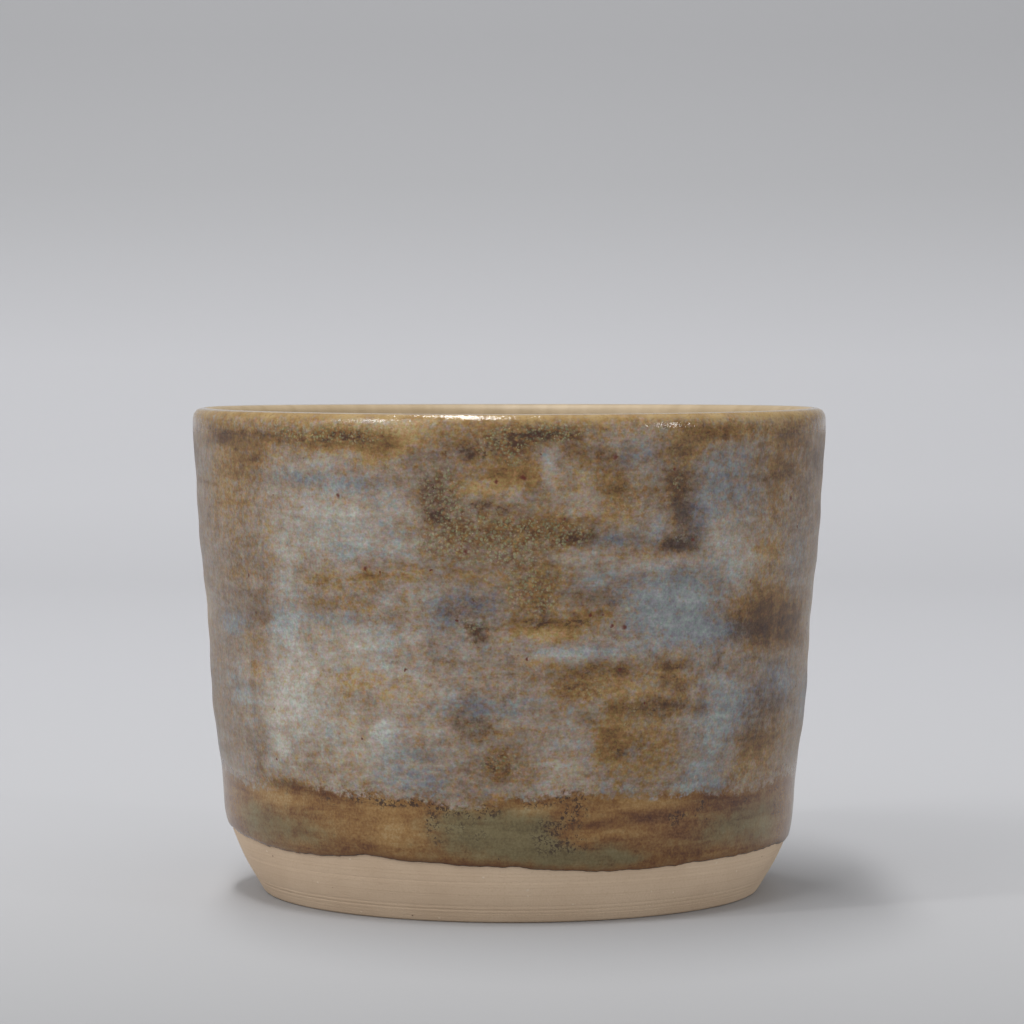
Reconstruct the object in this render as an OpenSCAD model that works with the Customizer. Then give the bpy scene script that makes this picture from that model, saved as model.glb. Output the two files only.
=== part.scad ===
// Handleless espresso cup: a wheel-thrown stoneware body with a liner glaze inside. Outside it has
// a dipped base glaze, and a second glaze brushed over that.
// Millimetres. The cup stands on z = 0 with its axis on Z, and its front faces -Y.

/* [Cup] */
// Height of the finished cup, to the top of the glazed lip
cup_h = 50; // [42:1:62]
// Widest diameter of the finished cup, just under the lip
rim_d = 66; // [60:1:80]
// Outer diameter of the thrown clay at table level, before the foot is trimmed
thrown_d = 57.6; // [54:0.4:64]

/* [Clay wall] */
// Clay thickness at the lip, which is rounded over in a half circle
lip_t = 1.9; // [1.5:0.1:3]
// Depth of the curve that turns the wall upright under the lip
lip_ease = 0.15; // [0.05:0.05:0.4]
// Clay thickness at the bottom of the wall
wall_t = 4.2; // [3:0.1:6]
// Spacing of the throwing rings outside
ring_pitch = 17; // [8:0.5:24]
// Height of the throwing rings outside, crest to hollow
ring_depth = 0.2; // [0:0.05:0.6]
// Height above the table of one crest outside
ring_crest_z = 20.3; // [10:0.1:40]
// Spacing of the throwing rings inside
inner_ring_pitch = 7.6; // [5:0.2:12]
// Height of the throwing rings inside, crest to hollow
inner_ring_depth = 0.3; // [0:0.05:0.6]

/* [Clay floor] */
// Clay thickness of the floor, above the turned recess
floor_t = 3.4; // [2.5:0.1:6]
// Radius of the hollow corner between wall and floor
corner_r = 7; // [4:0.5:12]
// Diameter of the low spiral button left in the middle of the floor
button_d = 12; // [6:0.5:18]
// Height of that button
button_h = 0.5; // [0:0.1:1]

/* [Trimmed foot] */
// Outer diameter of the foot, where the bevel meets the table
foot_d = 51.6; // [44:0.2:54]
// Lean of the trimmed bevel from upright, in degrees
bevel_a = 31; // [20:1:40]
// Depth of the curve that rounds the bevel into the wall
shoulder_ease = 2; // [0.5:0.1:3]
// Width of the foot ring
foot_w = 4.2; // [3:0.1:6]
// Depth of the recess turned inside the foot ring
recess_h = 2; // [1.6:0.1:3.5]
// Radius of the recess's inner corner
recess_fillet = 0.9; // [0.4:0.1:1]
// Rounding of the foot ring's two edges
foot_edge = 0.5; // [0.2:0.1:0.6]

/* [Glaze coats] */
// Thickness of the liner glaze
liner_t = 0.3; // [0.2:0.05:0.5]
// Thickness of the base glaze
base_t = 0.3; // [0.2:0.05:0.5]
// Thickness of the brushed glaze
brushed_t = 0.2; // [0.1:0.05:0.4]
// Thickness that the brushed glaze thins to at its upper edge, on the lip
feather_t = 0.08; // [0.05:0.01:0.1]
// How far up the lip the brushed glaze goes, in degrees from its widest point
feather_a = 45; // [15:7.5:60]

/* [Glaze lines] */
// Mean height of the line that the cup was dipped to
dip_h = 6.4; // [5.4:0.1:8]
// Rise and fall of that line around the cup, because the cup was dipped askew
dip_lean = 0.9; // [0:0.1:1.2]
// Direction in which that line is highest, in degrees from the front towards +X
dip_lean_at = -131; // [-180:1:180]
// Rise and fall of the ripples in that line
dip_ripple = 0.24; // [0:0.02:0.4]
// Number of those ripples
dip_ripples = 5; // [3:1:9]
// Direction of one of their crests
dip_ripple_at = -15; // [-60:1:60]
// Mean height of the brushed glaze's lower edge
brush_h = 12.4; // [11:0.1:20]
// Rise and fall of that edge from one brush load to the next
load_ripple = 0.36; // [0:0.02:0.6]
// Number of brush loads around the cup
brush_loads = 7; // [5:1:12]
// Direction of one load's highest edge
load_at = 14; // [-36:1:36]
// Rise and fall of that edge from one stroke to the next
stroke_ripple = 0.2; // [0:0.02:0.4]
// Number of strokes around the cup
brush_strokes = 13; // [8:1:24]
// Direction of one stroke's highest edge
stroke_at = 10; // [-20:1:20]

/* [Hidden] */
turn_fn = 120;
wall_steps = 40;
inner_steps = 40;
button_steps = 8;
corner_steps = 6;
lip_step_a = 7.5;
line_steps = 90;
cut_margin = 4;
// The wall ends and the rings fade out over this height under the lip and above the floor's corner
ring_fade = 8;

clay_rim_r = rim_d / 2 - base_t - brushed_t;
lip_r = lip_t / 2;
lip_z = cup_h - base_t - lip_r;
lip_c_r = clay_rim_r - lip_r;
lip_in_r = clay_rim_r - lip_t;
thrown_r = thrown_d / 2;
bevel_lean = tan(bevel_a);
foot_in_r = foot_d / 2 - foot_w;
floor_z = recess_h + floor_t;
inner_r0 = thrown_r - wall_t;
inner_lean = (lip_in_r + lip_ease - inner_r0) / lip_z;

// Which node to build

clay_body();
liner_glaze();
base_glaze();
brushed_glaze();

// The clay's surfaces

// The lower of two lines, with the corner between them rounded
function soft_min(a, b, ease) =
    let (near = max(ease - abs(a - b), 0) / ease)
    min(a, b) - near * near * ease / 4;

function clamp01(x) = min(max(x, 0), 1);

function fade_to_lip(z) = clamp01((lip_z - z) / ring_fade);

function fade_to_floor(z) = clamp01((z - floor_z - corner_r) / ring_fade);

// Outer radius of the clay at height z: trimmed bevel, leaning wall with rings, upright lip
function outer_r(z) =
    let (bevel = foot_d / 2 + z * bevel_lean,
         taper = thrown_r + (clay_rim_r + lip_ease - thrown_r) * z / lip_z,
         ring = ring_depth / 2 * cos(360 * (z - ring_crest_z) / ring_pitch) * fade_to_lip(z))
    soft_min(soft_min(bevel, taper + ring, shoulder_ease), clay_rim_r, lip_ease);

// Inner radius of the clay at height z, above the floor's corner
function inner_r(z) =
    let (taper = inner_r0 + inner_lean * z,
         ring = inner_ring_depth / 2 * sin(360 * (z - floor_z) / inner_ring_pitch))
    soft_min(taper, lip_in_r, lip_ease) + ring * fade_to_lip(z) * fade_to_floor(z);

// Arc of radius r between the level z and a line that leans by lean from r0 at height 0
function corner_arc(r0, lean, z, r) =
    let (c = [r0 + lean * (z + r) - r * sqrt(1 + lean * lean), z + r],
         end_a = -atan(lean))
    [for (i = [0 : corner_steps])
        let (a = -90 + (end_a + 90) * i / corner_steps)
        c + r * [cos(a), sin(a)]];

// Outer wall from the first level above z_low, then over the lip up to last_a degrees.
// The path lies t outside the clay, and end_t outside it at its end.
function outer_path(t, z_low, last_a, end_t) = concat(
    [for (i = [1 : wall_steps])
        let (z = lip_z * i / wall_steps)
        if (z > z_low) [outer_r(z) + t, z]],
    [for (a = [lip_step_a : lip_step_a : last_a])
        let (r = lip_r + t + (end_t - t) * a / last_a)
        [lip_c_r + r * cos(a), lip_z + r * sin(a)]]);

// Floor, corner and inner wall up to the lip's inner edge, t inside the clay
function inner_path(t) =
    let (arc = corner_arc(inner_r0 - t, inner_lean, floor_z + t, corner_r - t),
         z_low = arc[corner_steps][1])
    concat(
        [for (i = [0 : button_steps])
            let (r = button_d / 2 * i / button_steps)
            [r, floor_z + t + button_h * (1 + cos(360 * r / button_d)) / 2]],
        arc,
        [for (i = [1 : inner_steps])
            let (z = z_low + (lip_z - z_low) * i / inner_steps)
            [inner_r(z) - t, z]]);

// Underside from the axis to the trimmed bevel
function foot_path() = concat(
    [[0, recess_h]],
    [for (i = [0 : corner_steps])
        let (a = 90 - 90 * i / corner_steps)
        [foot_in_r - recess_fillet, recess_h - recess_fillet] + recess_fillet * [cos(a), sin(a)]],
    [for (i = [0 : corner_steps])
        let (a = 180 + 90 * i / corner_steps)
        [foot_in_r + foot_edge, foot_edge] + foot_edge * [cos(a), sin(a)]],
    corner_arc(foot_d / 2, bevel_lean, 0, foot_edge));

function reversed(path) = [for (i = [len(path) - 1 : -1 : 0]) path[i]];

// The glaze lines

function dip_line(a) = dip_h + dip_lean * cos(a - dip_lean_at)
    + dip_ripple * cos(dip_ripples * (a - dip_ripple_at));

function brush_line(a) = brush_h + load_ripple * cos(brush_loads * (a - load_at))
    + stroke_ripple * cos(brush_strokes * (a - stroke_at));

// Everything near the wall that is lower than a line around the cup
module under_line(heights) {
    n = len(heights);
    in_r = inner_r0;
    out_r = rim_d / 2 + cut_margin;
    polyhedron(
        points = [for (i = [0 : n - 1])
            let (a = 360 * i / n, out = [sin(a), -cos(a)])
            each [[in_r * out[0], in_r * out[1], -cut_margin],
                  [out_r * out[0], out_r * out[1], -cut_margin],
                  [out_r * out[0], out_r * out[1], heights[i]],
                  [in_r * out[0], in_r * out[1], heights[i]]]],
        faces = [for (i = [0 : n - 1])
            let (p = 4 * i, q = 4 * ((i + 1) % n))
            each [[q + 3, q + 2, p + 2], [q + 3, p + 2, p + 3],
                  [p, p + 1, q + 1], [p, q + 1, q],
                  [p + 1, p + 2, q + 2], [p + 1, q + 2, q + 1],
                  [q, q + 3, p + 3], [q, p + 3, p]]]);
}

// The four pieces

// Thrown stoneware with a trimmed bevel and a turned foot ring, bare where no glaze covers it
module clay_body() {
    inside = inner_path(0);
    color([0.66, 0.57, 0.48])
        rotate_extrude($fn = turn_fn)
            polygon(concat(
                foot_path(),
                outer_path(0, foot_edge, 180, 0),
                reversed([for (i = [0 : len(inside) - 2]) inside[i]])));
}

// Glaze poured over the floor and the inner wall, up to the lip's inner edge
module liner_glaze() {
    color([0.69, 0.60, 0.44])
        rotate_extrude($fn = turn_fn)
            polygon(concat(inner_path(0), reversed(inner_path(liner_t))));
}

// Glaze that covers the lip and the outer wall down to the line the cup was dipped to
module base_glaze() {
    z_low = dip_h - dip_lean - dip_ripple - cut_margin / 2;
    color([0.43, 0.39, 0.28])
        difference() {
            rotate_extrude($fn = turn_fn)
                polygon(concat(
                    outer_path(base_t, z_low, 180, base_t),
                    reversed(outer_path(0, z_low, 180, 0))));
            under_line([for (i = [0 : line_steps - 1]) dip_line(360 * i / line_steps)]);
        }
}

// Second glaze brushed over the base glaze, from the lip's outer edge to the brush line
module brushed_glaze() {
    z_low = brush_h - load_ripple - stroke_ripple - cut_margin / 2;
    color([0.50, 0.45, 0.44])
        difference() {
            rotate_extrude($fn = turn_fn)
                polygon(concat(
                    outer_path(base_t + brushed_t, z_low, feather_a, base_t + feather_t),
                    reversed(outer_path(base_t, z_low, feather_a, base_t))));
            under_line([for (i = [0 : line_steps - 1]) brush_line(360 * i / line_steps)]);
        }
}
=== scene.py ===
import math
import random

import bpy
import numpy
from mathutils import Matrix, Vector, noise


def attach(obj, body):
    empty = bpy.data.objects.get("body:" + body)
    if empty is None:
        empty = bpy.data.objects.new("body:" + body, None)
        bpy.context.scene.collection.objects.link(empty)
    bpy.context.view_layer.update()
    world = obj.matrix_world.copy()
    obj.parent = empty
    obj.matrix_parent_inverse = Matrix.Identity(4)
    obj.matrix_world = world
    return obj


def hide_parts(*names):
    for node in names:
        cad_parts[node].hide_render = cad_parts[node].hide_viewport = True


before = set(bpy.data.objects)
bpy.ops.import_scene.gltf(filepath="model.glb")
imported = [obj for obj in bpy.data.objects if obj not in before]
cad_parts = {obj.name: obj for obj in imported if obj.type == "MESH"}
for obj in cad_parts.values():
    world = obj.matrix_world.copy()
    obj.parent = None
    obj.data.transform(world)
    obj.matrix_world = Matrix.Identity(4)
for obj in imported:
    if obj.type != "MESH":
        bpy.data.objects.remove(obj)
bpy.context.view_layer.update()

# The clay body: buff stoneware, thrown on the wheel in one piece with a rounded lip. Once firm it
# was turned over and trimmed to a bevel, a foot ring and a shallow recess. It stays bare below the
# glaze. Sizes are in millimetres here and become metres in the mesh.
mm = 0.001
cup_h = 50.0
rim_r = 33.0
thrown_r = 28.8
base_t = 0.3
brushed_t = 0.2
lip_t = 1.9
lip_ease = 0.15
lip_square = 0.72
wall_t = 4.2
foot_r = 25.8
foot_w = 4.2
foot_edge = 0.5
bevel_lean = math.tan(math.radians(31))
shoulder_ease = 2.0
trim_top = 9.0
trim_grain = 0.28
recess_h = 2.0
recess_fillet = 0.9
recess_ring_h = 0.05
recess_ring_pitch = 1.9
recess_ring_fade = 2.0
floor_t = 3.4
corner_r = 7.0
button_r = 6.0
button_h = 0.5
floor_ring_h = 0.06
floor_ring_pitch = 2.6
floor_ring_fade = 3.0
ring_pitch = 17.0
ring_depth = 0.2
ring_crest_z = 20.3
inner_ring_pitch = 7.6
inner_ring_depth = 0.3
ring_fade = 8.0
finger_pitch = 4.3
finger_ridge = 0.035
oval_wall = 0.10
three_lobes = 0.05
foot_off_centre = 0.25
lip_rise = 0.08
seam_gap = 0.002
crease_a = 50
clay_rim_r = rim_r - base_t - brushed_t
lip_r = lip_t / 2
lip_z = cup_h - base_t - lip_r
lip_c_r = clay_rim_r - lip_r
lip_in_r = clay_rim_r - lip_t
recess_r = foot_r - foot_w
floor_z = recess_h + floor_t
inner_r0 = thrown_r - wall_t
inner_lean = (lip_in_r + lip_ease - inner_r0) / lip_z
# Lines that the trimming tool scored round the bevel: height, depth and half width
trim_lines = [(0.95, 0.02, 0.06), (1.35, 0.035, 0.07), (1.75, 0.025, 0.09), (4.3, 0.02, 0.12)]


def soft_min(a, b, ease):
    near = max(ease - abs(a - b), 0) / ease
    return min(a, b) - near * near * ease / 4


def clamp01(x):
    return min(max(x, 0.0), 1.0)


def outer_r(z):
    bevel = foot_r + z * bevel_lean
    taper = thrown_r + (clay_rim_r + lip_ease - thrown_r) * z / lip_z
    fade = clamp01((lip_z - z) / ring_fade)
    ring = ring_depth / 2 * math.cos(math.tau * (z - ring_crest_z) / ring_pitch) * fade
    return soft_min(soft_min(bevel, taper + ring, shoulder_ease), clay_rim_r, lip_ease)


def inner_r(z):
    fade = clamp01((lip_z - z) / ring_fade) * clamp01((z - floor_z - corner_r) / ring_fade)
    ring = inner_ring_depth / 2 * math.sin(math.tau * (z - floor_z) / inner_ring_pitch) * fade
    return soft_min(inner_r0 + inner_lean * z, lip_in_r, lip_ease) + ring


def steps(first, last, size):
    count = max(1, math.ceil(abs(last - first) / size))
    return [first + (last - first) * i / count for i in range(count + 1)]


def arc(c_r, c_z, radius, first, last, size=8):
    turns = [math.radians(a) for a in steps(first, last, size)]
    return [(c_r + radius * math.cos(a), c_z + radius * math.sin(a)) for a in turns]


def corner_arc(r0, lean, z, radius):
    c_r = r0 + lean * (z + radius) - radius * math.hypot(1, lean)
    return arc(c_r, z + radius, radius, -90, -math.degrees(math.atan(lean)))


def lip_arc(radius, first, last, size=8):
    """The lip's section: a round that the potter's leather left a little square."""
    turns = [math.radians(a) for a in steps(first, last, size)]
    return [(lip_c_r + radius * math.copysign(abs(math.cos(a)) ** lip_square, math.cos(a)),
             lip_z + radius * abs(math.sin(a)) ** lip_square) for a in turns]


def trimmed_r(z):
    return outer_r(z) - sum(deep * math.exp(-((z - at) / half) ** 2) for at, deep, half in trim_lines)


def inside_path(t):
    """Floor, hollow corner and inner wall up to the lip's inner edge, t above the clay."""
    corner = corner_arc(inner_r0 - t, inner_lean, floor_z + t, corner_r - t)
    floor_r = corner[0][0]
    path = [(r, floor_z + t + button_h * (1 + math.cos(math.pi * r / button_r)) / 2)
            for r in steps(0, button_r, 0.5)]
    for r in steps(button_r, floor_r, 0.4)[1:-1]:
        ring = floor_ring_h * math.sin(math.tau * (r - button_r) / floor_ring_pitch)
        path.append((r, floor_z + t + ring * clamp01((floor_r - r) / floor_ring_fade)))
    return path + corner + [(inner_r(z) - t, z) for z in steps(corner[-1][1], lip_z, 0.5)[1:]]


def turned_recess():
    """Ceiling of the recess under the foot, with the rings that the turning tool left."""
    edge = recess_r - recess_fillet
    path = []
    for r in steps(0, edge, 0.3):
        ring = recess_ring_h * math.cos(math.tau * r / recess_ring_pitch)
        path.append((r, recess_h + ring * clamp01((edge - r) / recess_ring_fade)))
    return path


clay_profile = turned_recess()
clay_profile += arc(recess_r - recess_fillet, recess_h - recess_fillet, recess_fillet, 90, 0, 15)[1:]
clay_profile += arc(recess_r + foot_edge, foot_edge, foot_edge, 180, 270, 15)
clay_profile += corner_arc(foot_r, bevel_lean, 0, foot_edge)
clay_profile += [(trimmed_r(z), z) for z in steps(clay_profile[-1][1], trim_top, 0.06)[1:]]
clay_profile += [(outer_r(z), z) for z in steps(trim_top, lip_z, 0.8)[1:]]
clay_profile += lip_arc(lip_r, 0, 180)[1:-1]
clay_profile += inside_path(0)[::-1]


class Wire:
    """A socket of a node tree. Arithmetic on wires adds the Math nodes that it needs."""

    def __init__(self, tree, socket=None):
        self.tree = tree
        self.socket = socket

    def node(self, kind, settings=None, sockets=None, out=0):
        """Adds a node, sets its settings, then gives its sockets their values or links."""
        made = self.tree.nodes.new(kind)
        for name, value in (settings or {}).items():
            if name == "stops":
                ramp = made.color_ramp.elements
                while len(ramp) < len(value):
                    ramp.new(0.5)
                for stop, (place, colour) in zip(ramp, value):
                    stop.position = place
                    stop.color = colour
            else:
                setattr(made, name, value)
        for key, value in (sockets or {}).items():
            if isinstance(value, Wire):
                self.tree.links.new(value.socket, made.inputs[key])
            else:
                made.inputs[key].default_value = value
        return Wire(self.tree, made.outputs[out])

    def also(self, out):
        """Another output of the same node."""
        return Wire(self.tree, self.socket.node.outputs[out])

    def math(self, operation, *values):
        return self.node("ShaderNodeMath", {"operation": operation}, dict(enumerate((self,) + values)))

    def ease(self, low, high):
        """0 below low, 1 above high, and a smooth step between them."""
        return self.node("ShaderNodeMapRange", {"interpolation_type": "SMOOTHSTEP"},
                         {"Value": self, "From Min": low, "From Max": high})

    def __add__(self, other):
        return self.math("ADD", other)

    def __radd__(self, other):
        return self.math("ADD", other)

    def __sub__(self, other):
        return self.math("SUBTRACT", other)

    def __rsub__(self, other):
        return self.node("ShaderNodeMath", {"operation": "SUBTRACT"}, {0: other, 1: self})

    def __mul__(self, other):
        return self.math("MULTIPLY", other)

    def __rmul__(self, other):
        return self.math("MULTIPLY", other)

    def __truediv__(self, other):
        return self.math("DIVIDE", other)

    def __pow__(self, other):
        return self.math("POWER", other)


def axes_of(place):
    """The x of a wire of positions; its outputs 1 and 2 are y and z."""
    return place.node("ShaderNodeSeparateXYZ", None, {0: place})


def from_axis(axes):
    """How far a place is from the cup's upright axis."""
    return (axes * axes + axes.also(1) * axes.also(1)).math("SQRT")


def hand_thrown(angle, r, z):
    """The thrown form's own faults: a wall out of round with a spiral of finger ridges, a foot that is
    off centre, and an uneven lip."""
    wall = z.ease(trim_top * mm, 16 * mm) * (1 - z.ease(40 * mm, 48 * mm))
    spiral = (z * (math.tau / (finger_pitch * mm)) + angle).math("SINE") * wall * (finger_ridge * mm)
    oval = (angle * 2 - 0.7).math("COSINE") * (oval_wall * mm)
    oval = oval + (angle * 3 - 3.9).math("COSINE") * (three_lobes * mm)
    off_centre = angle.math("SINE") * (1 - z.ease(trim_top / 2 * mm, trim_top * mm)) * (foot_off_centre * mm)
    lip_wave = (1 - (angle * 2).math("COSINE")) * z.ease(cup_h / 2 * mm, cup_h * mm) * (lip_rise * mm)
    spread = r / (rim_r * mm)
    return r + spread * (spiral + oval * z.ease(0, cup_h * mm) + off_centre), z + spread * lip_wave


def on_the_wheel(angle, r, z):
    r, z = hand_thrown(angle, r, z)
    return angle.node("ShaderNodeCombineXYZ", None,
                      {0: r * angle.math("SINE"), 1: r * angle.math("COSINE") * -1, 2: z})


def new_tree(name, sockets):
    """An empty Geometry Nodes tree with named inputs, and the wire that its nodes start from."""
    tree = bpy.data.node_groups.new(name, "GeometryNodeTree")
    for label, kind in sockets.items():
        tree.interface.new_socket(label, in_out="INPUT", socket_type=kind)
    tree.interface.new_socket("Piece", in_out="OUTPUT", socket_type="NodeSocketGeometry")
    return tree, Wire(tree).node("NodeGroupInput")


def wheel_grid(start, rows):
    """A flat grid to be bent round the cup's axis, and the angle and the row of each point on it."""
    grid = start.node("GeometryNodeMeshGrid", None, {
        "Size X": 1.0, "Size Y": 1.0, "Vertices X": start.also("Segments") + 1, "Vertices Y": rows})
    place = axes_of(start.node("GeometryNodeInputPosition"))
    return grid, place * math.tau, ((place.also(1) + 0.5) * (rows - 1)).math("ROUND")


def close_tree(start, piece):
    """Joins the seam and the poles, smooths the faces, and sends the piece out with its material."""
    piece = start.node("GeometryNodeMergeByDistance", None, {"Geometry": piece, "Distance": seam_gap * mm})
    piece = start.node("GeometryNodeSetShadeSmooth", None, {"Geometry": piece, "Shade Smooth": True})
    piece = start.node("GeometryNodeRealizeInstances", None, {"Geometry": piece})
    piece = start.node("GeometryNodeSetMaterial", None,
                       {"Geometry": piece, "Material": start.also("Material")})
    end = start.tree.nodes.new("NodeGroupOutput")
    start.tree.links.new(piece.socket, end.inputs["Piece"])


def spinning_tree(name):
    """Spins a profile about the cup's axis, one row of faces for each step of the profile."""
    tree, start = new_tree(name, {"Profile": "NodeSocketGeometry", "Steps": "NodeSocketInt",
                                  "Segments": "NodeSocketInt", "Material": "NodeSocketMaterial"})
    grid, angle, row = wheel_grid(start, start.also("Steps"))
    profile = start.node("GeometryNodeSampleIndex", {"data_type": "FLOAT_VECTOR", "domain": "POINT"}, {
        "Geometry": start, "Value": start.node("GeometryNodeInputPosition"), "Index": row})
    point = axes_of(profile)
    spun = start.node("GeometryNodeSetPosition", None, {
        "Geometry": grid, "Position": on_the_wheel(angle, point, point.also(2))})
    close_tree(start, spun)
    return tree


def shaped_piece(name, path, tree, values):
    """Runs a tree on a path of (radius, height) points and returns the result as a plain mesh object."""
    curve = bpy.data.curves.new(name + "_path", "CURVE")
    curve.dimensions = "3D"
    spline = curve.splines.new("POLY")
    spline.points.add(len(path) - 1)
    for point, (r, z) in zip(spline.points, path):
        point.co = (r * mm, 0, z * mm, 1)
    blank = bpy.data.objects.new(name + "_path", curve)
    bpy.context.collection.objects.link(blank)
    turning = blank.modifiers.new("turning", "NODES")
    turning.node_group = tree
    for item in tree.interface.items_tree:
        if item.name in values:
            turning[item.identifier] = values[item.name]
    shaped = blank.evaluated_get(bpy.context.evaluated_depsgraph_get())
    mesh = bpy.data.meshes.new_from_object(shaped)
    bpy.data.objects.remove(blank)
    mesh.name = name
    mesh.set_sharp_from_angle(angle=math.radians(crease_a))
    piece = bpy.data.objects.new(name, mesh)
    bpy.context.collection.objects.link(piece)
    return piece


def srgb(r, g, b):
    """A colour as it is read off a screen, 0 to 255, in the linear values that shaders take."""
    parts = [c / 255 for c in (r, g, b)]
    return tuple(c / 12.92 if c <= 0.04045 else ((c + 0.055) / 1.055) ** 2.4 for c in parts) + (1.0,)


def new_finish(name):
    """A material with only its Principled shader, that shader, and a wire of its Object coordinates."""
    finish = bpy.data.materials.new(name)
    finish.use_nodes = True
    shader = finish.node_tree.nodes["Principled BSDF"]
    return finish, shader, Wire(finish.node_tree).node("ShaderNodeTexCoord", out="Object")


def scaled(here, size, shift, stretch=(1, 1, 1)):
    """Coordinates on which one unit is this size in millimetres."""
    return here.node("ShaderNodeMapping", None, {
        "Vector": here, "Location": [shift] * 3, "Scale": [1 / (size * mm * s) for s in stretch]})


def cloud(here, size, detail=2.0, rough=0.55, stretch=(1, 1, 1), shift=0.0, bend=0.0):
    """Noise from 0 to 1 with lumps of about this size, drawn out by stretch and bent about."""
    return here.node("ShaderNodeTexNoise", None, {
        "Vector": scaled(here, size, shift, stretch), "Scale": 1.0, "Detail": detail, "Roughness": rough,
        "Distortion": bend})


def specks(here, spacing, radius, share, shift=0.0):
    """Scattered dots: 1 inside a dot and 0 outside, with one dot in only this share of the cells."""
    cell = here.node("ShaderNodeTexVoronoi", None, {"Vector": scaled(here, spacing, shift), "Scale": 1.0})
    chance = here.node("ShaderNodeSeparateColor", None, {0: cell.also("Color")})
    return (1 - cell.ease(radius / spacing * 0.6, radius / spacing)) * chance.math("LESS_THAN", share)


def tint(colour, other, amount):
    """Mixes two colours, each a wire or a fixed colour, by an amount that is a wire."""
    return amount.node("ShaderNodeMix", {"data_type": "RGBA", "clamp_factor": True},
                       {0: amount, 6: colour, 7: other}, out=2)


def set_finish(shader, colour, rough, height, relief):
    """Links what varies over a surface to its shader; relief is the height map's depth in millimetres."""
    tree = colour.tree
    bump = colour.node("ShaderNodeBump", None, {"Strength": 1.0, "Distance": relief * mm, "Height": height})
    tree.links.new(colour.socket, shader.inputs["Base Color"])
    tree.links.new(rough.socket, shader.inputs["Roughness"])
    tree.links.new(bump.socket, shader.inputs["Normal"])


bare_clay, shader, here = new_finish("bare_buff_stoneware")
axes = axes_of(here)
turn = (axes.also(2) + from_axis(axes) * 0.7) * (1 / (trim_grain * mm)) + cloud(here, 9) * 1.5
lines = here.node("ShaderNodeTexNoise", {"noise_dimensions": "1D"},
                  {"W": turn, "Scale": 1.0, "Detail": 2.0})
grain = cloud(here, 0.25, 3)
patches = cloud(here, 9, 3)
iron = specks(here, 1.6, 0.13, 0.16)
grog = specks(here, 1.1, 0.16, 0.22, shift=0.37)
body = tint(srgb(191, 167, 141), srgb(201, 178, 152), patches.ease(0.3, 0.7))
body = tint(body, srgb(174, 149, 122), lines.ease(0.52, 0.75) * 0.2)
body = tint(body, srgb(178, 154, 127), grain.ease(0.5, 0.8) * 0.45)
body = tint(body, srgb(214, 198, 176), grog * 0.6)
body = tint(body, srgb(92, 70, 52), iron * 0.8)
set_finish(shader, body, grain * 0.1 + 0.8, grain * 0.6 + lines * 0.3 - iron * 0.4 + grog * 0.3, 0.05)

clay_body = shaped_piece("clay_body_thrown", clay_profile, spinning_tree("thrown_and_trimmed"),
                         {"Steps": len(clay_profile), "Segments": 220, "Material": bare_clay})
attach(clay_body, "root")
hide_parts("clay_body")

# The liner glaze: a warm tan glaze that was poured in, swilled round and poured out. It covers the
# floor, the hollow corner and the inner wall, and stops at the lip's inner edge.
liner_t = 0.3
liner_sink = 0.02
liner_profile = inside_path(-liner_sink) + inside_path(liner_t)[::-1]

liner_finish, shader, here = new_finish("tan_liner_glaze")
height = axes_of(here).also(2)
pour = cloud(here, 8, 3, stretch=(1, 1, 2.2))
mottle = cloud(here, 0.9, 3)
fine = cloud(here, 0.35, 2)
liner = tint(srgb(170, 148, 116), srgb(196, 178, 150), (pour + (mottle - 0.5) * 0.6).ease(0.35, 0.68))
liner = tint(liner, srgb(142, 116, 82), fine.ease(0.55, 0.8) * 0.5)
# Lighter towards the top of the inner wall: painted light that lifts the shade just inside the rim.
liner = tint(liner, srgb(198, 176, 138), height.ease(45 * mm, 48.3 * mm) * 0.85)
liner = tint(liner, srgb(96, 70, 46), specks(here, 2.4, 0.2, 0.25) * 0.8)
set_finish(shader, liner, mottle * 0.12 + 0.2, mottle * 0.5 + fine * 0.3, 0.03)

liner_glaze = shaped_piece("liner_glaze_coat", liner_profile, spinning_tree("poured_liner"),
                           {"Steps": len(liner_profile), "Segments": 300, "Material": liner_finish})
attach(liner_glaze, "root")
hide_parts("liner_glaze")

# The base glaze: an iron glaze that the cup was dipped in, foot up. It is olive where it is thick and
# ochre to dark brown where it is thin, breaks to amber on the lip, and ends in a rolled, uneven line
# above the foot.
dip_h = 6.4
dip_start = 4.4
dip_waves = [(0.9, 1, -131), (0.24, 5, -15)]
dip_lifts = [(0.42, 7, -29), (0.2, 5, 1)]
dip_nibs = 0.9
dip_roll = 0.6
coat_sink = 0.03
feather_reach = 1.8
row_crowding = 1.3
mark_drift_h = 0.6
mark_drift_a = 1.8
mark_full_drift_h = 1.5
mark_edge = 2.4
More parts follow.
